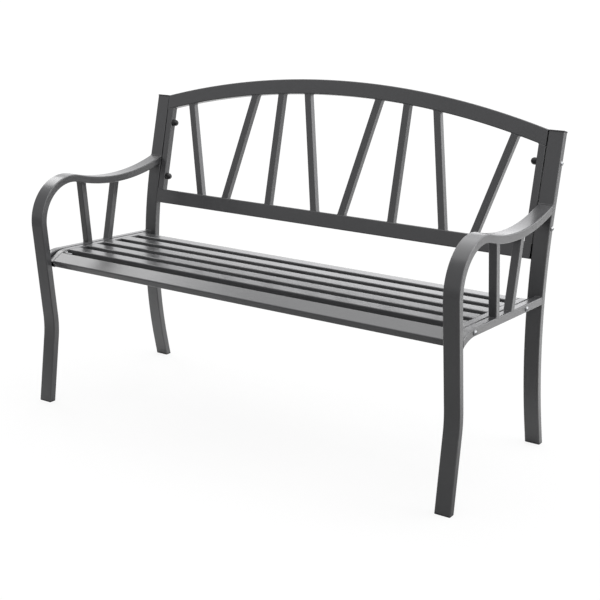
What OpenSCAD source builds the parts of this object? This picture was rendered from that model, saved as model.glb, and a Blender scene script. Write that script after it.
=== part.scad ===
// Garden bench of bent steel tube, with a slatted seat, a flat arched back and looped arms.
// Millimetres, +Z up. The origin is on the floor under the middle, the front faces -Y.
// Each side frame is one leg-and-arm tube, one rear post and a side rail. The slatted seat and
// the back are two welded panels that are bolted between the side frames.

/* [Overall] */
// Width across the two side frames
bench_w = 1270; // [900:5:1600]
// Height of the rear posts, end caps included
post_h = 793; // [740:1:860]
// From the toe of the front foot back to the toe of the rear foot
foot_spread = 489.4; // [475:0.1:520]
// Gap between a panel and the side frame that holds it
panel_gap = 2; // [0.5:0.1:3]

/* [Tubes] */
// Broad side of the flat tube of legs, arms, posts, slats and back rails
tube_w = 40; // [36:0.5:44]
// Narrow side of that tube, and both sides of the square tube
tube_t = 20; // [18:0.5:22]
// Wall of every tube
wall = 1.5; // [1:0.1:1.8]
// Outer corner radius of the flat and the square tube
tube_round = 3; // [2:0.1:4]
// Broad side of the thin bars in the back and under the arms
bar_w = 20; // [14:0.5:22]
// Narrow side of the thin bars
bar_t = 18; // [12:0.5:19]
// Outer corner radius of the thin bars
bar_round = 2; // [1.8:0.1:3]

/* [Front leg and arm] */
// Backward lean of the foot, in degrees from upright
leg_lean = 8.4; // [6:0.1:10]
// Straight run of the foot, from the floor to the knee
leg_foot_len = 179.7; // [160:0.1:190]
// Forward turn at the knee, in degrees
knee_turn = 13.7; // [12:0.1:15]
// Centreline radius of the knee
knee_r = 260; // [220:1:300]
// Straight run between the knee and the arm
shin_len = 250; // [230:1:270]
// Centreline radius of the arm's front loop
arm_r = 107.5; // [100:0.5:115]
// Slope at which the arm leaves the loop, in degrees below level
arm_drop = 15.4; // [14:0.1:17]
// Straight run between the loop and the sweep
arm_flat = 4; // [1:0.5:8]
// Centreline radius of the arm's hollow sweep up to the post
sweep_r = 588; // [560:1:620]

/* [Rear post] */
// Forward lean of the foot, in degrees from upright
post_lean = 12.4; // [11:0.1:14]
// Straight run of the foot below the long curve
post_foot_len = 51; // [30:1:70]
// Centreline radius of the long curve
post_r = 1219; // [1150:1:1300]
// Backward turn along the long curve, in degrees
post_turn = 26.1; // [24:0.1:28]

/* [Seat] */
// Height of the side rails at their highest point
seat_h = 416; // [405:0.5:430]
// From the toe of the front foot back to that point
rail_peak_y = 85; // [75:0.5:100]
// Slope of the seat down to the back, in degrees
seat_slope = 2.9; // [0:0.1:5]
// Centreline radius where a side rail turns down to the leg
rail_r = 110; // [90:1:130]
// Downward turn that the side rail is bent through before the leg trims it, in degrees
rail_turn = 45; // [42:1:52]
// How far the slats lie below the tops of the side rails
seat_sink = 0.5; // [0:0.5:6]
// Number of flat slats behind the front board
slat_count = 5; // [3:1:5]
// Open gap between two slats
slat_gap = 30; // [24:0.5:32]
// From the start of the side rail's bend back to the first slat
slat_start = 5.2; // [2:0.1:8]
// From the first slat's front edge back to the end rail's bend
panel_bend_back = 3; // [0:0.1:6]
// Centreline radius of the end rail's bend
panel_r = 60; // [50:1:70]
// Downward turn of the end rail and the front board, in degrees
board_turn = 28.8; // [24:0.1:32]
// Straight run of the end rail from that bend to its front end
board_run = 33; // [26:0.5:34]
// Depth of the flat brace under the middle of the slats
brace_t = 3; // [2:0.5:5]

/* [Back] */
// Backward lean of the back panel, in degrees
back_lean = 13.3; // [12:0.1:14]
// Height of the back panel at its ends, along its lean
back_h = 315.5; // [290:0.5:330]
// Rise of the arched top rail over its ends, along the lean
arch_rise = 79.6; // [40:0.2:110]
// Places of the bars' heads, as shares of half the width between the stiles
head_shares = [0.195, 0.345, 0.5, 0.886];
// Places of the bars' feet, as shares of the same half width
foot_shares = [0.076, 0.344, 0.606, 0.76];

/* [Bars under the arm] */
// From the front toe back to the front bar's foot on the side rail
front_bar_foot = 202; // [190:0.5:215]
// From the front toe back to the front bar's head under the arm
front_bar_head = 185; // [175:0.5:200]
// From the front toe back to the rear bar's foot on the side rail
rear_bar_foot = 284.5; // [270:0.5:300]
// From the front toe back to the rear bar's head under the arm
rear_bar_head = 326; // [300:0.5:335]

/* [Bolts and caps] */
// Thread diameter of every bolt
bolt_d = 6; // [5:0.5:8]
// Gap all round a bolt in its hole
hole_gap = 0.3; // [0.2:0.05:0.6]
// Gap all round a bolt in its nut
thread_gap = 0.1; // [0.05:0.05:0.2]
// Diameter of a bolt's button head
head_d = 12; // [10:0.5:13]
// Height of a bolt's button head
head_h = 3.8; // [3:0.1:4.5]
// Width across the flats of the key socket in a head
socket_w = 4; // [3:0.5:5]
// Depth of the key socket
socket_deep = 2; // [1:0.1:2.5]
// Diameter of a washer
washer_d = 14; // [13:0.5:16]
// Thickness of a washer
washer_t = 1.2; // [1:0.1:2]
// Width across the flats of a seat nut
nut_w = 10; // [9:0.5:13]
// Height of a seat nut
nut_h = 5; // [4:0.5:6]
// How far a seat bolt passes below the middle of the side rail
seat_bolt_drop = 0.5; // [0:0.5:3]
// How far a seat bolt stands out of its nut
bolt_stand = 15; // [1:0.5:18]
// Diameter of the domed cap nut on a back bolt
cap_nut_d = 19; // [15:0.5:20]
// Height of the domed cap nut
cap_nut_h = 16.5; // [13:0.5:18]
// Depth of a back bolt in its cap nut
cap_nut_grip = 10; // [6:0.5:11]
// From the bottom of the back panel up to its lower bolts
low_bolt_up = 79.5; // [60:0.5:100]
// From the bottom of the back panel up to its upper bolts
high_bolt_up = 237; // [200:0.5:255]
// Thickness of a post cap over the tube's end
cap_t = 4; // [2:0.1:6]
// Thickness of a foot cap under the tube's end
foot_t = 3; // [2:0.1:5]
// Depth of a cap's plug in its tube
plug_len = 14; // [8:1:20]
// Gap all round a plug in its tube
plug_gap = 0.2; // [0.1:0.05:0.3]

/* [Hidden] */
$fn = 48;
// Sides of a full circle at a tube's corners, and on a long sweep
corner_fn = 32;
sweep_fn = 256;
paint = "#4b4c50";
black = "#1d1d1f";
bright = "#c9ccd1";
// A post cap stands out past its tube on every side, over half of the gap to the back panel
cap_lip = panel_gap / 2;
// Overrun of a cut past the face that it opens
over = wall;
// A bend's tube is this much stouter, inside and out, and the straight runs reach into it by the lap
swell = 0.02;
lap = wall / 2;
// How far a foot is drawn below the floor before it is cut level
sunk = tube_t;
// How far a trimming body runs past the face that it trims with
reach = foot_spread / 4;
// Middle of a side frame's broad tubes and of its square ones, from the bench's middle
frame_x = (bench_w - tube_w) / 2;
rail_x = (bench_w - tube_t) / 2;
// Half widths of the back panel and, over its end rails, of the seat panel
back_half = bench_w / 2 - tube_w - panel_gap;
seat_half = bench_w / 2 - tube_t - panel_gap;
slat_half = seat_half - tube_t;
end_rail_x = seat_half - tube_t / 2;
stile_x = back_half - tube_t / 2;
bar_field = back_half - tube_t;

// A pose is [y, z, heading], the heading in degrees from straight up toward the back.
// A path is a list of straight lengths and of [radius, turn] bends, turning back if positive.
function ahead(p, len) = [p[0] + len * sin(p[2]), p[1] + len * cos(p[2]), p[2]];
function around(p, r, turn) =
    let (r_signed = turn < 0 ? -r : r, to = p[2] + turn)
    [p[0] + r_signed * (cos(p[2]) - cos(to)), p[1] + r_signed * (sin(to) - sin(p[2])), to];
function centre_of(p, r) = [p[0] + r * cos(p[2]), p[1] - r * sin(p[2])];
function pace(p, s) = is_num(s) ? ahead(p, s) : around(p, s[0], s[1]);
function after(p, path, i = 0) = i == len(path) ? p : after(pace(p, path[i]), path, i + 1);

// Rear post: its path up to the straight top run, then the run that reaches the post's height
post_curve = [post_foot_len, [post_r, post_turn]];
post_foot = [foot_spread + tube_t / 2 / cos(post_lean), 0, -post_lean];
post_curve_end = after(post_foot, post_curve);
post_top_lean = post_curve_end[2];
post_top_z = post_h - tube_t / 2 * sin(post_top_lean);
post_top_run = (post_top_z - post_curve_end[1]) / cos(post_top_lean);
post_top = ahead(post_curve_end, post_top_run);

// Back panel: its front face is flush with the post's front at the top
back_top_y = post_top[0] - tube_t / 2 * cos(post_top_lean);
back_foot_y = back_top_y - back_h * sin(back_lean);
back_foot_z = post_h - back_h * cos(back_lean);
arch_r = (back_half * back_half + arch_rise * arch_rise) / (2 * arch_rise);
arch_z = back_h + arch_rise - arch_r;
arch_under_r = arch_r - tube_w;

// Depth over all: from the front toe to the rearmost corner of the arched rail
apex_up = back_h + arch_rise - tube_w / 2;
apex_y = back_foot_y + apex_up * sin(back_lean) + tube_t / 2 * cos(back_lean);
depth = apex_y + (tube_t / 2 - tube_round) * cos(back_lean)
    + (tube_w / 2 - tube_round) * sin(back_lean) + tube_round;
toe_y = -depth / 2;

// The rear post where it stands, sunk into the floor, which cuts its foot level
post_floor = [toe_y + post_foot[0], 0, -post_lean];
post_start = ahead(post_floor, -sunk);
post_path = [sunk + post_foot_len, [post_r, post_turn], post_top_run - cap_t];
post_low = ahead(post_floor, post_foot_len);
post_bent = around(post_low, post_r, post_turn);
post_centre = centre_of(post_low, post_r);
post_over = [toe_y + post_top[0], post_top[1], post_top_lean];

// Front leg and arm: the sweep runs on past the post's front face, which trims it
leg_foot = [toe_y + tube_t / 2 / cos(leg_lean), 0, leg_lean];
leg_slant = leg_lean - knee_turn;
loop_turn = 90 + arm_drop - leg_slant;
knee = ahead(leg_foot, leg_foot_len);
shin = around(knee, knee_r, -knee_turn);
sweep_start = after(shin, [shin_len, [arm_r, loop_turn], arm_flat]);
sweep_centre = centre_of(sweep_start, -sweep_r);
sweep_span = post_top[0] + toe_y + tube_t - sweep_start[0];
sweep_turn = asin(cos(sweep_start[2]) + sweep_span / sweep_r) + sweep_start[2] - 90;
leg_start = ahead(leg_foot, -sunk);
leg_path = [sunk + leg_foot_len, [knee_r, -knee_turn], shin_len, [arm_r, loop_turn], arm_flat,
    [sweep_r, -sweep_turn]];

// Side rail: headed forward from behind the post's front face, then bent down to the leg
rail_z = seat_h - rail_r - tube_t / 2;
rail_bend = [toe_y + rail_peak_y + rail_r * sin(seat_slope), rail_z + rail_r * cos(seat_slope)];
rail_run = foot_spread - rail_peak_y;
rail_rear = ahead([rail_bend[0], rail_bend[1], seat_slope - 90], -rail_run);
rail_path = [rail_run, [rail_r, -rail_turn]];

// Seat panel: its frame starts at the side rail's bend, on the middle of the tubes
panel_y = rail_bend[0] - seat_sink * sin(seat_slope);
panel_z = rail_bend[1] - seat_sink * cos(seat_slope);
slat_pitch = tube_w + slat_gap;
panel_rear = slat_start + slat_count * slat_pitch - slat_gap;
panel_bend_y = slat_start + panel_bend_back;
end_rail_path = [panel_rear - panel_bend_y, [panel_r, -board_turn], board_run];
end_rail_pose = [panel_rear, 0, -90];
board_front = after(end_rail_pose, end_rail_path);
board_rear_y = board_front[0] + tube_w * cos(board_turn);

// Seat bolts: in the middle of the first and the last gap, just below the side rail's middle
front_bolt_y = (board_rear_y + slat_start) / 2;
rear_bolt_y = panel_rear - tube_w - slat_gap / 2;

// Height of the side rail's middle over the panel's middle, level runs first, then the bend
function rail_over(y) = y > 0 ? seat_sink : seat_sink - rail_r + sqrt(rail_r * rail_r - y * y);

seat_bolt_places = [for (y = [front_bolt_y, rear_bolt_y]) [y, rail_over(y) - seat_bolt_drop]];
back_bolt_places = [low_bolt_up, high_bolt_up];
seat_grip = 2 * (tube_t + washer_t) + panel_gap;
seat_bolt_len = seat_grip + nut_h + bolt_stand;
back_grip = washer_t + tube_w + panel_gap + tube_t;

// Sections, drawn with the broad side along x
module rounded(w, t, r) {
    if (r > 0) {
        square([w - 2 * r, t], center = true);
        square([w, t - 2 * r], center = true);
        for (x = [-1, 1], y = [-1, 1])
            translate([x * (w / 2 - r), y * (t / 2 - r)]) circle(r = r, $fn = corner_fn);
    } else square([w, t], center = true);
}

module section(w, t, r, more = 0) {
    less = wall + more;
    difference() {
        rounded(w + 2 * more, t + 2 * more, r + more);
        rounded(w - 2 * less, t - 2 * less, r - less);
    }
}

// Moves its children to a pose
module at_pose(p) { translate([0, p[0], p[1]]) rotate([-p[2], 0, 0]) children(); }

// A tube of one section along a path that starts at a pose
module tube(p, path, w, t, r, i = 0) {
    if (i < len(path)) {
        step = path[i];
        back = i > 0 ? lap : 0;
        onward = i < len(path) - 1 ? lap : 0;
        if (is_num(step))
            at_pose(ahead(p, -back))
                linear_extrude(height = back + step + onward) section(w, t, r);
        else at_pose(p) bend(step[0], step[1]) section(w, t, r, swell);
        tube(pace(p, step), path, w, t, r, i + 1);
    }
}

// A forward bend is the mirror image of a backward one
module bend(r, turn) {
    side = turn < 0 ? -1 : 1;
    mirror([0, 1 - side, 0]) translate([0, r, 0]) rotate([90, 0, -90])
        rotate_extrude(angle = abs(turn), $fn = sweep_fn) translate([r, 0]) rotate(90) children();
}

// What trims a piece that butts on a tube: all that lies beyond the tube's near face
module trim_flat(p, len, side) {
    face = tube_t / 2 + swell;
    at_pose(p) translate([-tube_w, side < 0 ? face - reach : -face, 0])
        cube([2 * tube_w, reach, len]);
}

module trim_round(centre, r) {
    translate([-tube_w, centre[0], centre[1]]) rotate([0, 90, 0])
        cylinder(r = r + tube_t / 2 + swell, h = 2 * tube_w, $fn = sweep_fn);
}

module below(z) {
    translate([-tube_w, -depth, z - reach]) cube([2 * tube_w, 2 * depth, reach]);
}

module along_x(half) {
    rotate([90, 0, 90]) linear_extrude(height = 2 * half, center = true) children();
}

module on_panel() {
    translate([0, panel_y, panel_z]) rotate([-seat_slope, 0, 0]) children();
}

module on_back() {
    translate([0, toe_y + back_foot_y, back_foot_z]) rotate([-back_lean, 0, 0]) children();
}

// Repeats its children at each bolt of one side of the seat or of the back
module at_seat_bolts(side) {
    for (place = seat_bolt_places) on_panel() translate([0, place[0], place[1]])
        rotate([0, 90 * side, 0]) children();
}

module at_back_bolts(side) {
    for (up = back_bolt_places) on_back() translate([0, tube_t / 2, up])
        rotate([0, 90 * side, 0]) children();
}

module bolt_hole() { cylinder(d = bolt_d + 2 * hole_gap, h = bench_w); }

// Side frames, each piece drawn for the side that side = 1 or -1 names
module rear_post(side) {
    color(paint) difference() {
        translate([side * frame_x, 0, 0]) difference() {
            tube(post_start, post_path, tube_w, tube_t, tube_round);
            below(foot_t);
        }
        at_back_bolts(side) bolt_hole();
    }
}

module front_leg(side) {
    color(paint) translate([side * frame_x, 0, 0]) difference() {
        tube(leg_start, leg_path, tube_w, tube_t, tube_round);
        below(foot_t);
        trim_flat(ahead(post_bent, -reach), reach + post_top_run, 1);
    }
}

module side_rail(side) {
    color(paint) difference() {
        translate([side * rail_x, 0, 0]) difference() {
            tube(rail_rear, rail_path, tube_t, tube_t, tube_round);
            trim_round(post_centre, post_r);
            trim_flat(shin, shin_len, -1);
        }
        at_seat_bolts(side) bolt_hole();
    }
}

module arm_bar(side, foot, head) {
    rise = sweep_start[1] - seat_h;
    lean = atan2(head - foot, rise);
    start = ahead([toe_y + foot, seat_h, lean], -tube_t);
    color(paint) translate([side * rail_x, 0, 0]) difference() {
        tube(start, [rise + 2 * tube_t], bar_w, bar_t, bar_round);
        trim_flat(rail_rear, rail_run, -1);
        trim_round(sweep_centre, sweep_r);
    }
}

// A foot cap: a level sole of the tube's outline, and a plug up the tube
module foot_cap(side, p) {
    color(black) translate([side * frame_x, 0, 0]) {
        difference() {
            at_pose(ahead(p, -foot_t)) linear_extrude(height = 2 * foot_t + tube_t)
                rounded(tube_w, tube_t, tube_round);
            below(0);
            mirror([0, 0, 1]) below(-foot_t);
        }
        difference() {
            at_pose(p) linear_extrude(height = foot_t + plug_len) plug_section();
            below(foot_t);
        }
    }
}

module plug_section() {
    inset = wall + plug_gap;
    rounded(tube_w - 2 * inset, tube_t - 2 * inset, tube_round - inset);
}

module post_cap(side) {
    color(black) translate([side * frame_x, 0, 0]) at_pose(ahead(post_over, -cap_t)) {
        linear_extrude(height = cap_t)
            rounded(tube_w + 2 * cap_lip, tube_t + 2 * cap_lip, tube_round + cap_lip);
        translate([0, 0, -plug_len]) linear_extrude(height = plug_len) plug_section();
    }
}

// Seat panel
module seat_slat(i) {
    color(paint) on_panel() translate([0, slat_start + (i - 1) * slat_pitch + tube_w / 2, 0])
        along_x(slat_half) section(tube_w, tube_t, tube_round);
}

module seat_front_board() {
    color(paint) on_panel() at_pose(board_front) translate([0, 0, -tube_w / 2])
        along_x(slat_half) section(tube_t, tube_w, tube_round);
}

module seat_end_rail(side) {
    color(paint) difference() {
        on_panel() translate([side * end_rail_x, 0, 0])
            tube(end_rail_pose, end_rail_path, tube_t, tube_t, tube_round);
        at_seat_bolts(side) bolt_hole();
    }
}

module seat_brace() {
    color(paint) on_panel() translate([-tube_t / 2, slat_start, -tube_t / 2 - brace_t])
        cube([tube_t, panel_rear - slat_start, brace_t]);
}

// Back panel, drawn upright: x across, z up along the lean, its front face at y = 0
module back_field() {
    translate([0, tube_t + over, 0]) rotate([90, 0, 0]) linear_extrude(height = tube_t + 2 * over)
        intersection() {
            translate([0, arch_z]) circle(r = arch_under_r, $fn = sweep_fn);
            translate([-bench_w, tube_w]) square([2 * bench_w, back_h + arch_rise]);
        }
}

module back_top_rail() {
    half_turn = asin(back_half / arch_under_r);
    color(paint) on_back() intersection() {
        translate([0, tube_t / 2, arch_z]) rotate([90, 0, 0]) rotate([0, 0, 90 - half_turn])
            rotate_extrude(angle = 2 * half_turn, $fn = sweep_fn) translate([arch_r - tube_w / 2, 0])
                section(tube_w, tube_t, tube_round);
        translate([-back_half, -over, 0]) cube([2 * back_half, tube_t + 2 * over, 2 * back_h]);
    }
}

module back_bottom_rail() {
    color(paint) on_back() translate([0, tube_t / 2, tube_w / 2])
        along_x(back_half) section(tube_t, tube_w, tube_round);
}

module back_stile(side) {
    color(paint) difference() {
        on_back() intersection() {
            translate([side * stile_x, tube_t / 2, tube_w])
                linear_extrude(height = back_h) section(tube_t, tube_t, tube_round);
            back_field();
        }
        at_back_bolts(side) bolt_hole();
    }
}

// Bars 1 to 8 go from left to right, and the shares list one half from the middle out
module back_bar(i) {
    half_count = len(head_shares);
    side = i > half_count ? 1 : -1;
    k = side > 0 ? i - half_count - 1 : half_count - i;
    foot_x = foot_shares[k] * bar_field;
    head_x = head_shares[k] * bar_field;
    rise = arch_z + sqrt(arch_under_r * arch_under_r - head_x * head_x) - tube_w;
    tilt = atan2(head_x - foot_x, rise);
    color(paint) on_back() mirror([1 - side, 0, 0]) intersection() {
        translate([foot_x, tube_t / 2, tube_w]) rotate([0, tilt, 0]) translate([0, 0, -tube_w])
            linear_extrude(height = rise / cos(tilt) + 2 * tube_w) section(bar_w, bar_t, bar_round);
        back_field();
    }
}

// A bolt, drawn upright over the bench's middle with its thread pointing down to it
module bolt(length) {
    seat = bench_w / 2 + washer_t;
    dome_r = (head_d * head_d / 4 + head_h * head_h) / (2 * head_h);
    difference() {
        translate([0, 0, seat]) rotate_extrude() intersection() {
            translate([0, head_h - dome_r]) circle(r = dome_r);
            square([head_d / 2, head_h]);
        }
        translate([0, 0, seat + head_h - socket_deep])
            cylinder(d = socket_w / cos(30), h = socket_deep + over, $fn = 6);
    }
    translate([0, 0, seat - length]) cylinder(d = bolt_d, h = length);
}

module washer(z) {
    translate([0, 0, z]) difference() {
        cylinder(d = washer_d, h = washer_t);
        translate([0, 0, -over]) cylinder(d = bolt_d + 2 * hole_gap, h = washer_t + 2 * over);
    }
}

module seat_nut() {
    translate([0, 0, slat_half - washer_t - nut_h]) difference() {
        cylinder(d = nut_w / cos(30), h = nut_h, $fn = 6);
        translate([0, 0, -over]) cylinder(d = bolt_d + 2 * thread_gap, h = nut_h + 2 * over);
    }
}

module cap_nut() {
    straight = cap_nut_h - cap_nut_d / 2;
    translate([0, 0, bar_field]) difference() {
        rotate_extrude() intersection() {
            union() {
                translate([0, -straight]) circle(d = cap_nut_d);
                translate([0, -straight]) square([cap_nut_d / 2, straight]);
            }
            translate([0, -cap_nut_h]) square([cap_nut_d / 2, cap_nut_h]);
        }
        translate([0, 0, -cap_nut_grip - thread_gap])
            cylinder(d = bolt_d + 2 * thread_gap, h = cap_nut_grip + thread_gap + over);
    }
}

module back_bolts() {
    color(bright) for (side = [-1, 1]) at_back_bolts(side) bolt(back_grip + cap_nut_grip);
}

module back_washers() {
    color(bright) for (side = [-1, 1]) at_back_bolts(side) washer(bench_w / 2);
}

module back_cap_nuts() {
    color(black) for (side = [-1, 1]) at_back_bolts(side) cap_nut();
}

module seat_bolts() {
    color(bright) for (side = [-1, 1]) at_seat_bolts(side) bolt(seat_bolt_len);
}

module seat_washers() {
    color(bright) for (side = [-1, 1], z = [slat_half - washer_t, bench_w / 2])
        at_seat_bolts(side) washer(z);
}

module seat_nuts() {
    color(bright) for (side = [-1, 1]) at_seat_bolts(side) seat_nut();
}

rear_post(-1);  // left_rear_post
rear_post(1);  // right_rear_post
front_leg(-1);  // left_front_leg
front_leg(1);  // right_front_leg
side_rail(-1);  // left_side_rail
side_rail(1);  // right_side_rail
arm_bar(-1, front_bar_foot, front_bar_head);  // left_arm_bar_front
arm_bar(-1, rear_bar_foot, rear_bar_head);  // left_arm_bar_rear
arm_bar(1, front_bar_foot, front_bar_head);  // right_arm_bar_front
arm_bar(1, rear_bar_foot, rear_bar_head);  // right_arm_bar_rear
foot_cap(-1, leg_foot);  // left_front_foot
foot_cap(1, leg_foot);  // right_front_foot
foot_cap(-1, post_floor);  // left_rear_foot
foot_cap(1, post_floor);  // right_rear_foot
post_cap(-1);  // left_post_cap
post_cap(1);  // right_post_cap
seat_front_board();
for (i = [1:slat_count]) seat_slat(i);
seat_end_rail(-1);  // seat_end_rail_left
seat_end_rail(1);  // seat_end_rail_right
seat_brace();
back_top_rail();
back_bottom_rail();
back_stile(-1);  // back_stile_left
back_stile(1);  // back_stile_right
for (i = [1:2 * len(head_shares)]) back_bar(i);
back_bolts();
back_washers();
back_cap_nuts();
seat_bolts();
seat_washers();
seat_nuts();
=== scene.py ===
import math

import bmesh
import bpy
from mathutils import Matrix, Quaternion, Vector
from mathutils.bvhtree import BVHTree
from mathutils.geometry import convex_hull_2d


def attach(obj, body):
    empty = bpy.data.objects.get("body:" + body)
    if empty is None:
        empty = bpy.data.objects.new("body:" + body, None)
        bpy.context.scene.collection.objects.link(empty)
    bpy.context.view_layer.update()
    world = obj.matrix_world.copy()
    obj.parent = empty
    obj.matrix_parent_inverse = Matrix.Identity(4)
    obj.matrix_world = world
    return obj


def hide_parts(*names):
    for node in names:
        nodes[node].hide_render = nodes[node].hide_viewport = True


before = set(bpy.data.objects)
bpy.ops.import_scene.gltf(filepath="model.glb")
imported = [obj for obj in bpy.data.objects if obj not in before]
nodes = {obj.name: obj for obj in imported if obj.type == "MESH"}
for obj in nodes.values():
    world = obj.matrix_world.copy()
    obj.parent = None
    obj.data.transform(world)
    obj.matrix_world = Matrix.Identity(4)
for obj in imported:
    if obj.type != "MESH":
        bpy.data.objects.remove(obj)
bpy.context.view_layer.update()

# Camera
# Stands in front of the bench and to its right, a little over three metres from its middle,
# at the height of a photographer's chest, with a short telephoto lens.
camera_place = (1.7005, -2.4359, 1.1983)
camera_turn = math.radians(33.499)
camera_tilt = math.radians(15.131)
camera_roll = math.radians(0.3724)
camera = bpy.data.objects.new("camera", bpy.data.cameras.new("camera"))
bpy.context.scene.collection.objects.link(camera)
camera.location = camera_place
toward_camera = Vector((math.sin(camera_turn) * math.cos(camera_tilt),
                        -math.cos(camera_turn) * math.cos(camera_tilt), math.sin(camera_tilt)))
camera.rotation_mode = "QUATERNION"
camera.rotation_quaternion = (-toward_camera).to_track_quat("-Z", "Y")
camera.rotation_quaternion.rotate(Quaternion(toward_camera, camera_roll))
camera.data.sensor_width = 36
camera.data.lens = 71.288
camera.data.shift_x = -0.02571
camera.data.shift_y = -0.04299
camera.data.clip_end = 60
bpy.context.scene.camera = camera
bpy.context.scene.view_settings.view_transform = "Standard"


# Studio
# A white sweep under one wide soft box, with a smaller one on each side. The sky is bright behind
# the bench and dim toward the camera. The floor, as the paint mirrors it, has that light and dark
# painted into its colour as painted light, and the eye sees it white.
def joined(tree, kind, sockets=None, **settings):
    """Adds a node to a tree: settings are its options, sockets its values or what is linked in."""
    made = tree.nodes.new(kind)
    for key, value in settings.items():
        setattr(made, key, value)
    for key, value in (sockets or {}).items():
        if isinstance(value, bpy.types.NodeSocket):
            tree.links.new(value, made.inputs[key])
        else:
            made.inputs[key].default_value = value
    return made


def cleared(owner):
    """The node tree of a world or a material, emptied."""
    owner.use_nodes = True
    owner.node_tree.nodes.clear()
    return owner.node_tree


def seen_by_eye(tree, ray):
    """1 on rays from the camera, straight or through something clear, and 0 on all others."""
    return joined(tree, "ShaderNodeMath", {
        0: ray.outputs["Is Camera Ray"], 1: ray.outputs["Is Transmission Ray"]},
        operation="MAXIMUM").outputs[0]


def sweep_light(tree, where, dim, bright, near, back, rightward):
    """Strength from dim before near to bright beyond back, along a line that leans rightward."""
    parts = joined(tree, "ShaderNodeSeparateXYZ", {"Vector": where})
    lean = joined(tree, "ShaderNodeMath", {0: parts.outputs["X"], 1: rightward, 2: parts.outputs["Y"]},
                  operation="MULTIPLY_ADD")
    return joined(tree, "ShaderNodeMapRange", {
        "Value": lean.outputs[0], "From Min": near, "From Max": back,
        "To Min": dim, "To Max": bright}, interpolation_type="SMOOTHSTEP").outputs[0]


world = bpy.data.worlds.new("studio")
bpy.context.scene.world = world
tree = cleared(world)
ray = joined(tree, "ShaderNodeLightPath")
way = joined(tree, "ShaderNodeTexCoord").outputs["Generated"]
room = joined(tree, "ShaderNodeBackground", {
    "Color": (1.0, 1.0, 1.0, 1.0),
    "Strength": sweep_light(tree, way, dim=0.45, bright=0.75, near=-0.75, back=0.35, rightward=0.45)})
mirrored = joined(tree, "ShaderNodeBackground", {
    "Color": (0.985, 0.985, 1.0, 1.0),
    "Strength": sweep_light(tree, way, dim=0.59, bright=1.70, near=-0.6, back=0.7, rightward=1.0)})
white = joined(tree, "ShaderNodeBackground", {"Color": (1.0, 1.0, 1.0, 1.0), "Strength": 1.0})
lit = joined(tree, "ShaderNodeMixShader", {
    0: ray.outputs["Is Glossy Ray"], 1: room.outputs[0], 2: mirrored.outputs[0]})
shown = joined(tree, "ShaderNodeMixShader", {
    0: seen_by_eye(tree, ray), 1: lit.outputs[0], 2: white.outputs[0]})
joined(tree, "ShaderNodeOutputWorld", {"Surface": shown.outputs[0]})

floor_reach = 40.0
floor_corners = [(x * floor_reach, y * floor_reach, 0) for x, y in ((-1, -1), (1, -1), (1, 1), (-1, 1))]
floor_mesh = bpy.data.meshes.new("floor")
floor_mesh.from_pydata(floor_corners, [], [(0, 1, 2, 3)])
floor = bpy.data.objects.new("floor", floor_mesh)
bpy.context.scene.collection.objects.link(floor)
sweep = bpy.data.materials.new("white sweep")
tree = cleared(sweep)
ray = joined(tree, "ShaderNodeLightPath")
place = joined(tree, "ShaderNodeTexCoord").outputs["Object"]
far = joined(tree, "ShaderNodeVectorMath", {0: place}, operation="LENGTH")
rise = joined(tree, "ShaderNodeMapRange", {
    "Value": far.outputs["Value"], "From Min": 1.5, "From Max": 6.0, "To Min": 1.035, "To Max": 1.16},
    interpolation_type="SMOOTHSTEP")
matt = joined(tree, "ShaderNodeBsdfDiffuse", {"Color": (0.86, 0.86, 0.86, 1.0)})
glow = joined(tree, "ShaderNodeEmission", {"Color": (1.0, 1.0, 1.0, 1.0), "Strength": rise.outputs[0]})
# Painted light: in the paint's reflections the floor is coloured bright behind the bench and dark toward the
# camera, a painted falloff of the studio's light.
floor_painted_light = joined(tree, "ShaderNodeBsdfDiffuse", {
    "Color": sweep_light(tree, place, dim=0.29, bright=0.88, near=-0.6, back=0.45, rightward=-0.35)})
glow_share = 0.82
share = joined(tree, "ShaderNodeMath", {0: seen_by_eye(tree, ray), 1: glow_share}, operation="MULTIPLY")
eye = joined(tree, "ShaderNodeMixShader", {0: share.outputs[0], 1: matt.outputs[0], 2: glow.outputs[0]})
both = joined(tree, "ShaderNodeMixShader", {
    0: ray.outputs["Is Glossy Ray"], 1: eye.outputs[0], 2: floor_painted_light.outputs[0]})
joined(tree, "ShaderNodeOutputMaterial", {"Surface": both.outputs[0]})
floor_mesh.materials.append(sweep)


def soft_box(name, place, target, size, watts):
    """A square soft box that looks at a point."""
    lamp = bpy.data.lights.new(name, "AREA")
    lamp.shape = "SQUARE"
    lamp.size = size
    lamp.energy = watts
    made = bpy.data.objects.new(name, lamp)
    bpy.context.scene.collection.objects.link(made)
    made.location = place
    made.rotation_mode = "QUATERNION"
    made.rotation_quaternion = (Vector(target) - Vector(place)).to_track_quat("-Z", "Y")


soft_box("soft box above", place=(0.0, 0.4, 3.4), target=(0, 0, 0.3), size=4.0, watts=60)
soft_box("soft box left", place=(-3.2, 0.9, 2.9), target=(0, 0, 0.3), size=1.6, watts=26)
soft_box("soft box right", place=(3.2, 1.3, 1.5), target=(0, 0, 0.5), size=2.0, watts=38)


# Powder coat
# Charcoal powder, baked on after all welding: a satin film with a fine orange peel,
# small shifts of tone and gloss, and the odd nib of grit under it.
def two_tone(tree, share, dark, light, low, high):
    """Colour that goes from dark to light as a share rises from low to high."""
    tone = joined(tree, "ShaderNodeValToRGB", {"Fac": share})
    for stop, position, colour in zip(tone.color_ramp.elements, (low, high), (dark, light)):
        stop.position = position
        stop.color = (*colour, 1)
    return tone.outputs["Color"]


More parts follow.
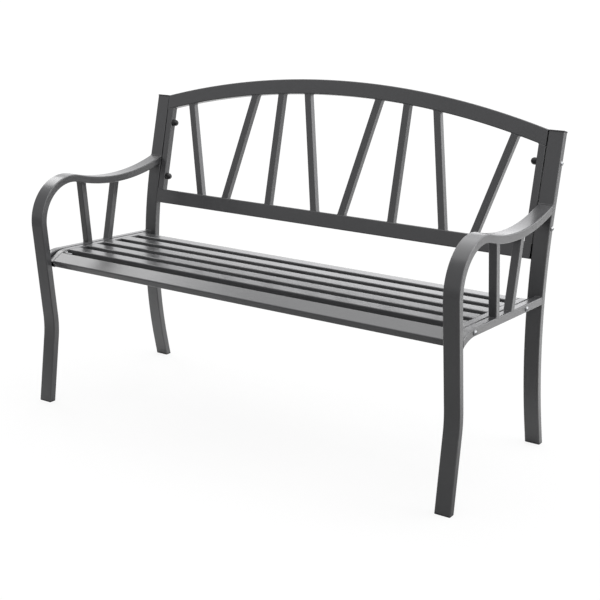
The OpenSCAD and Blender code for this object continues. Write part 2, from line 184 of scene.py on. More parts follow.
def powder_coat(name, seed):
    """The baked paint, with its clouds, peel and grit moved along by a seed."""
    coat = bpy.data.materials.new(name)
    tree = cleared(coat)
    where = joined(tree, "ShaderNodeTexCoord").outputs["Object"]
    shifted = joined(tree, "ShaderNodeMapping", {
        "Vector": where, "Location": (0.37 * seed, 0.19 * seed, 0.53 * seed)}).outputs[0]
    cloud = joined(tree, "ShaderNodeTexNoise", {
        "Vector": shifted, "Scale": 11.0, "Detail": 4.0, "Roughness": 0.55})
    peel = joined(tree, "ShaderNodeTexNoise", {
        "Vector": shifted, "Scale": 620.0, "Detail": 1.0, "Roughness": 0.4})
    grain = joined(tree, "ShaderNodeTexNoise", {
        "Vector": shifted, "Scale": 2600.0, "Detail": 2.0, "Roughness": 0.6})
    grit = joined(tree, "ShaderNodeTexVoronoi", {"Vector": shifted, "Scale": 95.0, "Randomness": 1.0})
    nib = joined(tree, "ShaderNodeMapRange", {
        "Value": grit.outputs["Distance"], "From Min": 0.0, "From Max": 0.07,
        "To Min": 1.0, "To Max": 0.0}, interpolation_type="SMOOTHSTEP")
    charcoal = two_tone(tree, cloud.outputs["Fac"], dark=(0.030, 0.0305, 0.032),
                        light=(0.038, 0.0385, 0.041), low=0.3, high=0.72)
    speck = joined(tree, "ShaderNodeMix", {
        "Factor": grain.outputs["Fac"], "A": charcoal,
        "B": (0.052, 0.052, 0.055, 1)}, data_type="RGBA", blend_type="MIX")
    soft = joined(tree, "ShaderNodeMapRange", {
        "Value": cloud.outputs["Fac"], "From Min": 0.3, "From Max": 0.7, "To Min": 0.30, "To Max": 0.38})
    gloss = joined(tree, "ShaderNodeMath", {
        0: grain.outputs["Fac"], 1: 0.08, 2: soft.outputs[0]}, operation="MULTIPLY_ADD")
    height = joined(tree, "ShaderNodeMath", {
        0: nib.outputs[0], 1: 0.8, 2: peel.outputs["Fac"]}, operation="MULTIPLY_ADD")
    skin = joined(tree, "ShaderNodeBump", {
        "Height": height.outputs[0], "Strength": 0.22, "Distance": 0.0001})
    film = joined(tree, "ShaderNodeBsdfPrincipled", {
        "Base Color": speck.outputs["Result"], "Roughness": gloss.outputs[0], "IOR": 1.5,
        "Coat Weight": 1.0, "Coat Roughness": 0.24, "Coat IOR": 1.5,
        "Normal": skin.outputs["Normal"], "Coat Normal": skin.outputs["Normal"]})
    joined(tree, "ShaderNodeOutputMaterial", {"Surface": film.outputs[0]})
    return coat


def dress(node_name, material):
    """Gives every slot of a CAD node one material."""
    for slot in nodes[node_name].material_slots:
        slot.material = material


frame_coat = powder_coat("charcoal powder coat on the side frames", seed=1)
for side in ("left", "right"):
    for piece in ("rear_post", "front_leg", "side_rail", "arm_bar_front", "arm_bar_rear"):
        dress(f"{side}_{piece}", frame_coat)

seat_coat = powder_coat("charcoal powder coat on the seat", seed=2)
for piece in ("front_board", "slat_1", "slat_2", "slat_3", "slat_4", "slat_5", "end_rail_left",
              "end_rail_right", "brace"):
    dress(f"seat_{piece}", seat_coat)

back_coat = powder_coat("charcoal powder coat on the back", seed=3)
for piece in ("top_rail", "bottom_rail", "stile_left", "stile_right",
              "bar_1", "bar_2", "bar_3", "bar_4", "bar_5", "bar_6", "bar_7", "bar_8"):
    dress(f"back_{piece}", back_coat)


# Bent tubes
# Legs with their arms, rear posts and the arched rail: flat steel tube, 40 x 20 mm with a 1.5 mm
# wall, bent or rolled cold to these runs and radii. Each end is cut to what it meets.
def geometry_tree(name, inputs, output):
    """A new Geometry Nodes tree with named inputs and one shape to hand out, and what it is given."""
    tree = bpy.data.node_groups.new(name, "GeometryNodeTree")
    for label, kind in inputs.items():
        tree.interface.new_socket(label, in_out="INPUT", socket_type="NodeSocket" + kind)
    tree.interface.new_socket(output, in_out="OUTPUT", socket_type="NodeSocketGeometry")
    return tree, joined(tree, "NodeGroupInput").outputs


def handed_out(tree, shape, finish):
    """Ends a tree: its shape is made real, gets its material and goes to the tree's output."""
    whole = joined(tree, "GeometryNodeRealizeInstances", {"Geometry": shape})
    painted = joined(tree, "GeometryNodeSetMaterial", {"Geometry": whole.outputs[0], "Material": finish})
    joined(tree, "NodeGroupOutput", {0: painted.outputs[0]})


def tree_socket(tree, name):
    """Identifier of a named input of a Geometry Nodes tree, which its modifier is set by."""
    return next(item.identifier for item in tree.interface.items_tree
                if item.item_type == "SOCKET" and item.in_out == "INPUT" and item.name == name)


def baked(piece, modifier):
    """Keeps what a modifier makes of a piece as its plain mesh, and takes the modifier off."""
    bpy.context.view_layer.update()
    graph = bpy.context.evaluated_depsgraph_get()
    finished = bpy.data.meshes.new_from_object(piece.evaluated_get(graph), depsgraph=graph)
    piece.modifiers.remove(modifier)
    piece.data = finished
    finished.name = piece.name


def settled(name, mesh, tree, values):
    """Runs a Geometry Nodes tree on a mesh and keeps what comes out as a plain mesh object."""
    made = bpy.data.objects.new(name, mesh)
    bpy.context.scene.collection.objects.link(made)
    modifier = made.modifiers.new("make", "NODES")
    modifier.node_group = tree
    for key, value in values.items():
        modifier[tree_socket(tree, key)] = value
    baked(made, modifier)
    return made


# How far the straight pieces of a bend may lie off its arc
chord_sag = 0.00002


def chords(radius, turn):
    """How many straight pieces stay within the sag of an arc. The turn is in radians."""
    return math.ceil(turn / (2 * math.acos(1 - chord_sag / radius)))


def bent_line(start, heading, path):
    """Points (0, y, z) along straight lengths and (radius, turn) bends. The heading is in degrees
    from straight up toward the back, and a positive turn goes on toward the back."""
    y, z = start
    points = [Vector((0, y, z))]
    for step in path:
        if isinstance(step, tuple):
            radius, turn = step
            pieces = chords(radius, math.radians(abs(turn)))
            chord = 2 * radius * math.sin(math.radians(abs(turn) / pieces / 2))
        else:
            pieces, chord, turn = 1, step, 0.0
        for _ in range(pieces):
            heading += turn / pieces / 2
            y += chord * math.sin(math.radians(heading))
            z += chord * math.cos(math.radians(heading))
            heading += turn / pieces / 2
            points.append(Vector((0, y, z)))
    return points, heading


skin_tree, given = geometry_tree("tube skin along a line", {
    "Line": "Geometry", "Across": "Float", "Through": "Float", "Corner radius": "Float",
    "Paint": "Material"}, output="Skin")
line = joined(skin_tree, "GeometryNodeMeshToCurve", {"Mesh": given["Line"]})
outline = joined(skin_tree, "GeometryNodeCurvePrimitiveQuadrilateral", {
    "Width": given["Across"], "Height": given["Through"]})
rounded = joined(skin_tree, "GeometryNodeFilletCurve", {
    "Curve": outline.outputs[0], "Radius": given["Corner radius"], "Count": 6}, mode="POLY")
skin = joined(skin_tree, "GeometryNodeCurveToMesh", {
    "Curve": line.outputs[0], "Profile Curve": rounded.outputs[0], "Fill Caps": False})
handed_out(skin_tree, skin.outputs[0], given["Paint"])


def banded(shape, loops):
    """Joins each loop of points to the next one with a band of four-sided faces."""
    for here, there in zip(loops, loops[1:]):
        for i in range(len(here)):
            j = (i + 1) % len(here)
            shape.faces.new((here[i], here[j], there[j], there[i]))


def smooth_mesh(name, shape, sharp):
    """Turns a bmesh into a mesh that shades smoothly, but for edges of more than so many degrees."""
    mesh = bpy.data.meshes.new(name)
    shape.to_mesh(mesh)
    shape.free()
    for polygon in mesh.polygons:
        polygon.use_smooth = True
    mesh.set_sharp_from_angle(angle=math.radians(sharp))
    return mesh


tube_broad = 0.040
tube_narrow = 0.020
tube_wall = 0.0015
tube_corner = 0.003


def bent_tube(name, points, across, through, cuts, turn, paint, replaced):
    """A hollow tube along a line, both ends closed over the wall. A cut is the point and normal of
    the plane that an end is slid to along the tube, and turn moves the finished mesh into place."""
    skins = []
    for wall in (0.0, tube_wall):
        line = bpy.data.meshes.new(name + " line")
        line.from_pydata(points, [(i, i + 1) for i in range(len(points) - 1)], [])
        made = settled(name + " skin", line, skin_tree, {
            "Across": across - 2 * wall, "Through": through - 2 * wall,
            "Corner radius": tube_corner - wall, "Paint": paint})
        places = [v.co.copy() for v in made.data.vertices]
        count = len(places) // len(points)
        rings = [places[i:i + count] for i in range(0, len(places), count)]
        for end, inward, (spot, normal) in ((0, 1, cuts[0]), (-1, -2, cuts[1])):
            along = (points[inward] - points[end]).normalized()
            rings[end] = [p + along * ((spot - p).dot(normal) / along.dot(normal)) for p in rings[end]]
        skins.append(rings)
        bpy.data.objects.remove(made)
    rings = skins[0] + skins[1][::-1]
    shape = bmesh.new()
    loops = [[shape.verts.new(turn @ p) for p in ring] for ring in rings]
    banded(shape, loops + loops[:1])
    bmesh.ops.recalc_face_normals(shape, faces=shape.faces)
    mesh = smooth_mesh(name, shape, sharp=40)
    mesh.materials.append(paint)
    tube = bpy.data.objects.new(name, mesh)
    bpy.context.scene.collection.objects.link(tube)
    even = tube.modifiers.new("flat sides stay flat", "WEIGHTED_NORMAL")
    even.keep_sharp = True
    baked(tube, even)
    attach(tube, "root")
    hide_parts(replaced)


def halfway(values):
    """Halfway between the lowest and the highest of some values."""
    values = list(values)
    return (max(values) + min(values)) / 2


same_height = 0.0001


def sole_middle(node_name):
    """Middle of the level sole of a foot cap, where a tube's middle line meets the floor."""
    sole = [v.co for v in nodes[node_name].data.vertices if v.co.z < same_height]
    return halfway(p.x for p in sole), halfway(p.y for p in sole)


sole_thick = 0.003
cap_height = 0.004
foot_cut = (Vector((0, 0, sole_thick)), Vector((0, 0, 1)))
post_height = 0.793
post_lean = 12.4
post_foot_run = 0.051
post_radius = 1.219
post_top_lean = 13.7
leg_lean = 8.4
leg_foot_run = 0.1797
knee_bend = (0.260, -13.7)
shin_run = 0.250
loop_bend = (0.1075, 110.7)
arm_run = 0.004
sweep_radius = 0.588
# The arm's line stops this far short of the post, and its end is then slid on to the post's face
last_gap = 0.004
up = Vector((0, math.sin(math.radians(post_top_lean)), math.cos(math.radians(post_top_lean))))
aft = Vector((0, math.cos(math.radians(post_top_lean)), -math.sin(math.radians(post_top_lean))))
for side in ("left", "right"):
    side_x, post_y = sole_middle(f"{side}_rear_foot")
    place = Matrix.Translation((side_x, 0, 0))
    curve, _ = bent_line((post_y, 0), -post_lean, [post_foot_run, (post_radius, post_lean + post_top_lean)])
    bent = curve[-1]
    cap_top = max(v.co.dot(up) for v in nodes[f"{side}_post_cap"].data.vertices)
    post_line = curve + [bent + up * (cap_top - cap_height - bent.dot(up))]
    bent_tube(f"{side}_rear_post_bent", post_line, tube_broad, tube_narrow,
              (foot_cut, (post_line[-1], up)), place, frame_coat, f"{side}_rear_post")
    _, leg_y = sole_middle(f"{side}_front_foot")
    post_face = bent - aft * (tube_narrow / 2)
    leg, heading = bent_line((leg_y, 0), leg_lean, [leg_foot_run, knee_bend, shin_run, loop_bend, arm_run])
    sweep_turn = -math.degrees((bent.y - leg[-1].y) / sweep_radius)
    arm, _ = bent_line((leg[-1].y, leg[-1].z), heading, [(sweep_radius, sweep_turn)])
    leg_line = leg + [p for p in arm[1:] if (p - post_face).dot(aft) < -last_gap]
    bent_tube(f"{side}_leg_and_arm_bent", leg_line, tube_broad, tube_narrow,
              (foot_cut, (post_face, aft)), place, frame_coat, f"{side}_front_leg")

panel_lean = math.radians(13.3)
panel_half = 0.593
panel_high = 0.3155
arch_rise = 0.0796
arch_radius = (panel_half ** 2 + arch_rise ** 2) / (2 * arch_rise)
arch_middle = panel_high + arch_rise - arch_radius
roll_radius = arch_radius - tube_broad / 2
post_crown = post_line[-1] + up * cap_height
panel_top = post_crown - aft * (tube_narrow / 2)
panel_y = panel_top.y - panel_high * math.sin(panel_lean)
panel_z = post_height - panel_high * math.cos(panel_lean)
panel_place = Matrix.Translation((0, panel_y, panel_z)) @ Matrix.Rotation(-panel_lean, 4, "X")
half_turn = math.asin(panel_half / roll_radius)
pieces = chords(roll_radius, 2 * half_turn)
arch_line = []
for i in range(pieces + 1):
    angle = half_turn * (2 * i / pieces - 1)
    arch_line.append(Vector((roll_radius * math.sin(angle), tube_narrow / 2,
                             arch_middle + roll_radius * math.cos(angle))))
arch_cuts = [(Vector((end * panel_half, 0, 0)), Vector((1, 0, 0))) for end in (-1, 1)]
bent_tube("back_top_rail_rolled", arch_line, tube_narrow, tube_broad, arch_cuts, panel_place, back_coat,
          "back_top_rail")


# Weld beads
# Each tube that ends on another is welded all round before painting. The bead stands in the open
# corners, and where two faces are flush it is dressed down and only fills the rounded edge.
bead_tree, given = geometry_tree("weld bead along a seam", {
    "Seams": "Geometry", "Bead radius": "Float", "Ripple pitch": "Float", "Paint": "Material"},
    output="Beads")
line = joined(bead_tree, "GeometryNodeMeshToCurve", {"Mesh": given["Seams"]})
fine = joined(bead_tree, "GeometryNodeResampleCurve", {
    "Curve": line.outputs[0], "Length": 0.0006}, mode="LENGTH")
run = joined(bead_tree, "GeometryNodeSplineParameter")
turns = joined(bead_tree, "ShaderNodeMath", {
    0: run.outputs["Length"], 1: given["Ripple pitch"]}, operation="DIVIDE")
phase = joined(bead_tree, "ShaderNodeMath", {0: turns.outputs[0], 1: 2 * math.pi}, operation="MULTIPLY")
wave = joined(bead_tree, "ShaderNodeMath", {0: phase.outputs[0]}, operation="SINE")
spot = joined(bead_tree, "GeometryNodeInputPosition")
uneven = joined(bead_tree, "ShaderNodeTexNoise", {"Vector": spot.outputs[0], "Scale": 160.0, "Detail": 1.0})
ripple = joined(bead_tree, "ShaderNodeMath", {0: wave.outputs[0], 1: 0.10, 2: 0.72}, operation="MULTIPLY_ADD")
swing = joined(bead_tree, "ShaderNodeMath", {
    0: uneven.outputs["Fac"], 1: 0.5, 2: ripple.outputs[0]}, operation="MULTIPLY_ADD")
girth = joined(bead_tree, "ShaderNodeMath", {
    0: swing.outputs[0], 1: given["Bead radius"]}, operation="MULTIPLY")
ring = joined(bead_tree, "GeometryNodeCurvePrimitiveCircle", {"Resolution": 8, "Radius": 1.0})
bead = joined(bead_tree, "GeometryNodeCurveToMesh", {
    "Curve": fine.outputs[0], "Profile Curve": ring.outputs["Curve"], "Scale": girth.outputs[0],
    "Fill Caps": True})
smooth = joined(bead_tree, "GeometryNodeSetShadeSmooth", {"Geometry": bead.outputs[0]})
handed_out(bead_tree, smooth.outputs[0], given["Paint"])

surfaces = {}


def surface(node_name):
    """A search tree over a node's faces, made once."""
    if node_name not in surfaces:
        mesh = nodes[node_name].data
        surfaces[node_name] = BVHTree.FromPolygons(
            [v.co for v in mesh.vertices], [p.vertices for p in mesh.polygons])
    return surfaces[node_name]


# How near the meshes of two welded tubes are, how level a cut end is, and how far across it goes
touching = 0.0003
level = 0.0005
tube_reach = 0.06
# How finely a seam is drawn, how far outside it the other tube's face is looked for, how far off
# that face is where the two are flush, and how deep the bead is sunk there
seam_step = 0.0014
look_out = 0.002
flush_gap = 0.0006
flush_sink = 0.0012


def seam(butted, carrier):
    """The closed line round the end of one tube where it stands on another, sunk where they are flush."""
    points = [v.co for v in nodes[butted].data.vertices]
    face = surface(carrier)
    near = [p for p in points if face.find_nearest(p, touching)[0] is not None]
    middle = sum(near, Vector()) / len(near)
    spot, normal, _, _ = face.find_nearest(middle)
    end = [p for p in points if abs((p - spot).dot(normal)) < level and (p - middle).length < tube_reach]
    across = normal.orthogonal().normalized()
    along = normal.cross(across)
    flat = [Vector(((p - spot).dot(across), (p - spot).dot(along))) for p in end]
    corners = [flat[i] for i in convex_hull_2d(flat)]
    line = []
    for here, there in zip(corners, corners[1:] + corners[:1]):
        pieces = max(1, round((there - here).length / seam_step))
        line += [here.lerp(there, k / pieces) for k in range(pieces)]
    centre = sum(line, Vector((0, 0))) / len(line)
    drops = []
    for i, here in enumerate(line):
        way = line[(i + 1) % len(line)] - line[i - 1]
        out = Vector((way.y, -way.x)).normalized()
        if out.dot(here - centre) < 0:
            out = -out
        beyond = here + out * look_out
        _, _, _, gap = face.find_nearest(spot + across * beyond.x + along * beyond.y)
        drops.append((out, flush_sink if gap > flush_gap else 0.0))
    sunk = []
    for i, here in enumerate(line):
        share = sum(drops[(i + k) % len(line)][1] for k in (-1, 0, 1)) / 3
        kept = here - drops[i][0] * share
        sunk.append(spot + across * kept.x + along * kept.y)
    return sunk


ripple_pitch = 0.0022
frame_bead = 0.0016
panel_bead = 0.0014


def weld(name, seams, radius, paint):
    """One mesh of closed edge loops, turned into rippled beads that ride on the frame."""
    points = []
    edges = []
    for loop in seams:
        first = len(points)
        points += loop
        edges += [(first + i, first + (i + 1) % len(loop)) for i in range(len(loop))]
    lines = bpy.data.meshes.new(name + " lines")
    lines.from_pydata(points, edges, [])
    beads = settled(name, lines, bead_tree, {
        "Bead radius": radius, "Ripple pitch": ripple_pitch, "Paint": paint})
    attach(beads, "root")


for side in ("left", "right"):
    weld(f"{side}_frame_weld_beads", [
        seam(f"{side}_front_leg", f"{side}_rear_post"), seam(f"{side}_side_rail", f"{side}_rear_post"),
        seam(f"{side}_side_rail", f"{side}_front_leg"), seam(f"{side}_arm_bar_front", f"{side}_side_rail"),
        seam(f"{side}_arm_bar_front", f"{side}_front_leg"), seam(f"{side}_arm_bar_rear", f"{side}_side_rail"),
        seam(f"{side}_arm_bar_rear", f"{side}_front_leg")], frame_bead, frame_coat)

weld("seat_weld_beads", [
    seam(f"seat_{piece}", f"seat_end_rail_{side}") for side in ("left", "right")
    for piece in ("front_board", "slat_1", "slat_2", "slat_3", "slat_4", "slat_5")], panel_bead, seat_coat)

weld("back_weld_beads", [
    seam(f"back_{piece}", f"back_{rail}_rail") for rail in ("top", "bottom")
    for piece in ("stile_left", "stile_right", "bar_1", "bar_2", "bar_3", "bar_4", "bar_5", "bar_6",
                  "bar_7", "bar_8")], panel_bead, back_coat)


# Plastic caps
# Polypropylene, moulded with a fine pebbled skin and slightly rounded rims: a charcoal cap in the
# open top of each post and a black one under each foot, each pushed in by its plug.
def moulded_plastic(name, dark, light, rough, pebble):
    """Matt or glossy plastic between two tones, with how rough it is and how deep its pebbles are."""
    plastic = bpy.data.materials.new(name)
    tree = cleared(plastic)
    where = joined(tree, "ShaderNodeTexCoord").outputs["Object"]
    blush = joined(tree, "ShaderNodeTexNoise", {"Vector": where, "Scale": 60.0, "Detail": 3.0})
    grains = joined(tree, "ShaderNodeTexVoronoi", {"Vector": where, "Scale": 1400.0, "Randomness": 0.9})
    gloss = joined(tree, "ShaderNodeMapRange", {
        "Value": blush.outputs["Fac"], "From Min": 0.3, "From Max": 0.7,
        "To Min": rough, "To Max": rough + 0.1})
    skin = joined(tree, "ShaderNodeBump", {
        "Height": grains.outputs["Distance"], "Strength": pebble, "Distance": 0.0002})
    body = joined(tree, "ShaderNodeBsdfPrincipled", {
        "Base Color": two_tone(tree, blush.outputs["Fac"], dark, light, low=0.35, high=0.7),
        "Roughness": gloss.outputs[0], "IOR": 1.49, "Normal": skin.outputs["Normal"]})
    joined(tree, "ShaderNodeOutputMaterial", {"Surface": body.outputs[0]})
    return plastic


least_corner = 0.0006


def rim(inset, steps=6):
    """Points round the outline of a tube's end, drawn in by an inset, with the middle at the origin."""
    width = tube_broad - 2 * inset
    depth = tube_narrow - 2 * inset
    corner = max(least_corner, tube_corner - inset)
    points = []
    for i, (a, b) in enumerate(((1, 1), (-1, 1), (-1, -1), (1, -1))):
        for k in range(steps + 1):
            angle = math.pi / 2 * (i + k / steps)
            points.append((a * (width / 2 - corner) + corner * math.cos(angle),
                           b * (depth / 2 - corner) + corner * math.sin(angle)))
    return points


def stacked(shape, rings):
    """Adds a closed skin through rings of points, with a face over the first and the last ring."""
    loops = [[shape.verts.new(p) for p in ring] for ring in rings]
    banded(shape, loops)
    shape.faces.new(list(reversed(loops[0])))
    shape.faces.new(loops[-1])


def finished_piece(name, shape, material, replaced):
    """Turns a bmesh into an object of the scene that rides on the frame for a CAD node."""
    bmesh.ops.remove_doubles(shape, verts=shape.verts, dist=1e-7)
    bmesh.ops.recalc_face_normals(shape, faces=shape.faces)
    mesh = smooth_mesh(name, shape, sharp=35)
    mesh.materials.append(material)
    made = bpy.data.objects.new(name, mesh)
    bpy.context.scene.collection.objects.link(made)
    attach(made, "root")
    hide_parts(replaced)


plug_depth = 0.014
cap_lip = 0.001
cap_plastic = moulded_plastic("charcoal plastic of the post caps", dark=(0.026, 0.026, 0.028),
                              light=(0.038, 0.038, 0.041), rough=0.40, pebble=0.25)
foot_plastic = moulded_plastic("black plastic of the feet", dark=(0.011, 0.011, 0.012),
                               light=(0.019, 0.019, 0.021), rough=0.48, pebble=0.35)

for side in ("left", "right"):
    corners = [v.co for v in nodes[f"{side}_post_cap"].data.vertices]
    top = max(p.dot(up) for p in corners)
    face = [p for p in corners if p.dot(up) > top - same_height]
    centre_x = halfway(p.x for p in face)
    centre_aft = halfway(p.dot(aft) for p in face)
    rings = []
    for inset, height in ((tube_wall + 0.0012, -plug_depth), (tube_wall + 0.0004, -plug_depth + 0.001),
                          (tube_wall + 0.0002, -0.0002), (0.0004, 0.0), (-cap_lip + 0.0002, 0.0002),
                          (-cap_lip, 0.0006), (-cap_lip, 0.0024), (-cap_lip + 0.00025, 0.0031),
                          (-cap_lip + 0.0009, 0.0036), (0.0008, 0.00385), (0.003, 0.00395),
                          (0.007, cap_height)):
        rings.append([Vector((centre_x + x, 0, 0)) + aft * (centre_aft + y) + up * (top - cap_height + height)
                      for x, y in rim(inset)])
    shape = bmesh.new()
    stacked(shape, rings)
    finished_piece(f"{side}_post_cap_moulded", shape, cap_plastic, f"{side}_post_cap")

for side in ("left", "right"):
    for end, lean in (("front", math.radians(leg_lean)), ("rear", math.radians(-post_lean))):
        centre_x, centre_y = sole_middle(f"{side}_{end}_foot")
        rings = []
        for inset, height in ((0.0075, 0.0), (0.0015, 0.0), (0.0006, 0.00012), (0.00015, 0.0005),
                              (0.0, 0.0011), (0.0, sole_thick - 0.0003), (0.0003, sole_thick),
                              (tube_wall + 0.0002, sole_thick),
                              (tube_wall + 0.0004, sole_thick + plug_depth - 0.001),
                              (tube_wall + 0.0012, sole_thick + plug_depth)):
            rings.append([(centre_x + x, centre_y + y / math.cos(lean) + height * math.tan(lean), height)
                          for x, y in rim(inset)])
        shape = bmesh.new()
        stacked(shape, rings)
        finished_piece(f"{side}_{end}_foot_moulded", shape, foot_plastic,
                       f"{side}_{end}_foot")


# Bolts, washers and nuts
# M6 button heads with a key socket, plain washers and hexagon nuts, cold forged, rolled and turned,
# then bright zinc plated. The back bolts end in domed nuts with a glossy black plastic cover.
def zinc_plate(name):
    """Bright zinc with soft stains and fine marks that run round each fastener's axis."""
    plate = bpy.data.materials.new(name)
    tree = cleared(plate)
    where = joined(tree, "ShaderNodeTexCoord").outputs["Object"]
    lathe = joined(tree, "ShaderNodeMapping", {"Vector": where, "Scale": (1.0, 0.12, 0.12)})
    marks = joined(tree, "ShaderNodeTexNoise", {"Vector": lathe.outputs[0], "Scale": 5200.0, "Detail": 2.0})
    stain = joined(tree, "ShaderNodeTexNoise", {"Vector": where, "Scale": 240.0, "Detail": 3.0})
    silver = two_tone(tree, stain.outputs["Fac"], dark=(0.30, 0.31, 0.33), light=(0.46, 0.46, 0.45),
                      low=0.35, high=0.68)
    gloss = joined(tree, "ShaderNodeMapRange", {
        "Value": stain.outputs["Fac"], "From Min": 0.3, "From Max": 0.7, "To Min": 0.30, "To Max": 0.44})
    skin = joined(tree, "ShaderNodeBump", {
        "Height": marks.outputs["Fac"], "Strength": 0.15, "Distance": 0.00005})
    metal = joined(tree, "ShaderNodeBsdfPrincipled", {
        "Base Color": silver, "Metallic": 1.0, "Roughness": gloss.outputs[0],
        "Normal": skin.outputs["Normal"]})
    joined(tree, "ShaderNodeOutputMaterial", {"Surface": metal.outputs[0]})
    return plate


def turned(profile, steps=48, closed=False):
    """A shape turned round the x axis, outward to +x. A profile point is (x, radius, flats, bevel):
    flats is 1 for six flats that far from the axis, and bevel drops the corners of those flats."""
    shape = bmesh.new()
    loops = []
    for x, radius, flats, bevel in profile:
        loop = []
        for k in range(steps):
            angle = 2 * math.pi * k / steps
            from_flat = (angle + math.pi / 6) % (math.pi / 3) - math.pi / 6
            far = radius / math.cos(from_flat) if flats else radius
            drop = bevel * (far - radius)
            loop.append(shape.verts.new((x + drop, far * math.cos(angle), far * math.sin(angle))))
        loops.append(loop)
    if closed:
        banded(shape, loops + loops[:1])
    else:
        banded(shape, loops)
        shape.faces.new(loops[0])
        shape.faces.new(loops[-1])
    bmesh.ops.recalc_face_normals(shape, faces=shape.faces)
    return shape


thread_pitch = 0.001
thread_deep = 0.00035
rows_in_a_turn = 5
# The groove fades in and out over some rows of points, and the tip tapers over the last ones
rows_in = 4
rows_out = 6
tip_rows = 3
tip_taper = 0.0002


def thread(shape, start, length, radius, steps=24):
    """Adds a rolled thread along x from start inwards: one groove that winds round the shank."""
    rows = round(length / thread_pitch * rows_in_a_turn)
    loops = []
    for row in range(rows + 1):
        x = start - length * row / rows
        fade = min(1.0, row / rows_in, (rows - row) / rows_out)
        loop = []
        for k in range(steps):
            angle = 2 * math.pi * k / steps
            wind = ((start - x) / thread_pitch + k / steps) % 1.0
            far = radius - thread_deep * fade * abs(2 * wind - 1)
            if rows - row < tip_rows:
                far -= tip_taper * (tip_rows - (rows - row))
            loop.append(shape.verts.new((x, far * math.cos(angle), far * math.sin(angle))))
        loops.append(loop)
    banded(shape, loops)
    shape.faces.new(loops[0])
    shape.faces.new(loops[-1])


fit_tree, given = geometry_tree("one fastener at each place", {
    "Places": "Geometry", "Fastener": "Object", "Plating": "Material"}, output="Fasteners")
single = joined(fit_tree, "GeometryNodeObjectInfo", {"Object": given["Fastener"]})
heading = joined(fit_tree, "GeometryNodeInputNamedAttribute", {"Name": "heading"}, data_type="FLOAT_VECTOR")
facing = joined(fit_tree, "FunctionNodeEulerToRotation", {"Euler": heading.outputs["Attribute"]})
placed = joined(fit_tree, "GeometryNodeInstanceOnPoints", {
    "Points": given["Places"], "Instance": single.outputs["Geometry"], "Rotation": facing.outputs[0]})
handed_out(fit_tree, placed.outputs[0], given["Plating"])


def fitted(name, shape, places, plating, replaced):
    """Puts a fastener at each place, a point and how it is turned: its +x points off the bench."""
    fastener = bpy.data.objects.new(name + " single", smooth_mesh(name + " single", shape, sharp=30))
    points = bpy.data.meshes.new(name + " places")
    points.from_pydata([place for place, _ in places], [], [])
    heading = points.attributes.new("heading", "FLOAT_VECTOR", "POINT")
    for i, (_, turn) in enumerate(places):
        heading.data[i].vector = turn
    made = settled(name, points, fit_tree, {"Fastener": fastener, "Plating": plating})
    bpy.data.objects.remove(fastener)
    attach(made, "root")
    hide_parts(replaced)


# Points of one washer lie within this reach, and each bolt is turned on by so many radians
axis_reach = 0.016
screwed_on = 0.9


def bolt_axes(node_name):
    """Where each bolt's axis runs: the middle of every ring of washer points, as (side, y, z)."""
    rings = []
    for p in (v.co for v in nodes[node_name].data.vertices):
        side = 1 if p.x > 0 else -1
        for ring in rings:
            if ring[0] == side and math.hypot(ring[1][0].y - p.y, ring[1][0].z - p.z) < axis_reach:
                ring[1].append(p)
                break
        else:
            rings.append((side, [p]))
    return [(side, halfway(p.y for p in ring), halfway(p.z for p in ring)) for side, ring in rings]


def at_axes(axes, x):
    """Places on the bolts' axes, at a distance from the bench's middle, each one screwed round on."""
    return [((side * x, y, z), (screwed_on * i, 0.0, 0.0 if side > 0 else math.pi))
            for i, (side, y, z) in enumerate(axes)]


zinc = zinc_plate("bright zinc plate")
cover_plastic = moulded_plastic("glossy black plastic of the nut covers", dark=(0.006, 0.006, 0.007),
                                light=(0.010, 0.010, 0.011), rough=0.20, pebble=0.05)
head_radius = 0.006
head_high = 0.0038
socket_half = 0.002
socket_deep = 0.002
socket_mouth = 0.0026
thread_radius = 0.003
washer_radius = 0.007
washer_thick = 0.0012
outer_face = 0.635
seat_inner_face = 0.593
back_inner_face = 0.573


def button_bolt(length, threaded):
    """A bolt with its washer seat at x = 0: domed head, chamfered key socket, shank and thread."""
    dome = (head_radius ** 2 + head_high ** 2) / (2 * head_high)
    rise = [(head_high - dome + math.sqrt(dome ** 2 - r ** 2), r) for r in
            (0.0058, 0.0053, 0.0047, 0.0041, 0.0035, 0.003)]
    lip = head_high - dome + math.sqrt(dome ** 2 - socket_mouth ** 2)
    profile = [(-length + threaded, thread_radius, 0, 0), (0.0, thread_radius, 0, 0),
               (0.0, head_radius - 0.0002, 0, 0), (0.0002, head_radius, 0, 0)]
    profile += [(x, r, 0, 0) for x, r in rise]
    profile += [(lip, 0.00245, 0, 0), (lip - 0.0002, socket_half + 0.00008, 1, 0),
                (head_high - socket_deep, socket_half, 1, 0),
                (head_high - socket_deep - 0.0006, 0.0006, 0, 0)]
    shape = turned(profile)
    thread(shape, -length + threaded, threaded, thread_radius)
    bmesh.ops.recalc_face_normals(shape, faces=shape.faces)
    return shape


def flat_washer():
    """A blanked washer with its inner face at x = 0 and slightly rounded edges."""
    edge = 0.00018
    return turned([(0.0, 0.0033, 0, 0), (0.0, washer_radius - edge, 0, 0), (edge, washer_radius, 0, 0),
                   (washer_thick - edge, washer_radius, 0, 0), (washer_thick, washer_radius - edge, 0, 0),
                   (washer_thick, 0.0034, 0, 0), (washer_thick - edge, 0.0033, 0, 0)], closed=True)


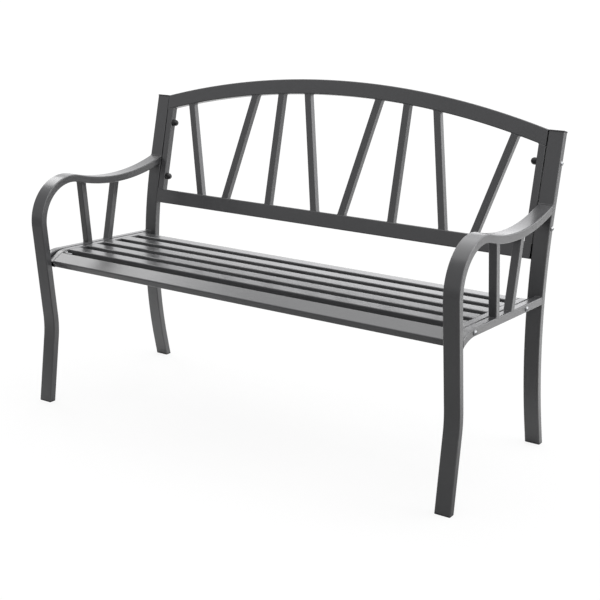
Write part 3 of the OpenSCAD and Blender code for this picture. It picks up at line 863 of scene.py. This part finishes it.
def hexagon_nut():
    """A hexagon nut with its seat at x = 0 and its free face towards the bench's middle."""
    high = 0.005
    half = 0.005
    slope = math.tan(math.radians(30))
    return turned([(0.0, 0.0034, 0, 0), (0.0, half - 0.0002, 0, 0), (-0.0002, half, 1, -slope),
                   (-high + 0.0002, half, 1, slope), (-high, half - 0.0003, 0, 0), (-high, 0.0035, 0, 0),
                   (-high + 0.0005, 0.00305, 0, 0)], closed=True)


def covered_nut():
    """A domed nut under a plastic cover, its seat at x = 0 and its dome towards the bench's middle."""
    radius = 0.0095
    high = 0.0165
    straight = high - radius
    dome = radius - 0.0003
    profile = [(-0.0006, 0.0032, 0, 0), (0.0, 0.004, 0, 0), (0.0, radius - 0.0004, 0, 0),
               (-0.0003, radius, 0, 0), (-0.0016, radius, 0, 0), (-0.0018, dome, 0, 0), (-0.0022, dome, 0, 0)]
    profile += [(-straight - dome * math.sin(a), dome * math.cos(a), 0, 0)
                for a in (math.radians(d) for d in (0, 12, 24, 36, 47, 57, 66, 74, 81, 86))]
    return turned(profile)


seat_axes = bolt_axes("seat_washers")
back_axes = bolt_axes("back_washers")
back_bolt = button_bolt(length=0.0732, threaded=0.018)
seat_bolt = button_bolt(length=0.0644, threaded=0.022)
fitted("back_bolts_forged", back_bolt, at_axes(back_axes, outer_face + washer_thick), zinc,
       "back_bolts")
fitted("back_washers_blanked", flat_washer(), at_axes(back_axes, outer_face), zinc, "back_washers")
fitted("back_cap_nuts_covered", covered_nut(), at_axes(back_axes, back_inner_face), cover_plastic,
       "back_cap_nuts")
fitted("seat_bolts_forged", seat_bolt, at_axes(seat_axes, outer_face + washer_thick), zinc,
       "seat_bolts")
seat_washer_places = at_axes(seat_axes, outer_face) + at_axes(seat_axes, seat_inner_face - washer_thick)
fitted("seat_washers_blanked", flat_washer(), seat_washer_places, zinc, "seat_washers")
fitted("seat_nuts_chamfered", hexagon_nut(), at_axes(seat_axes, seat_inner_face - washer_thick), zinc,
       "seat_nuts")
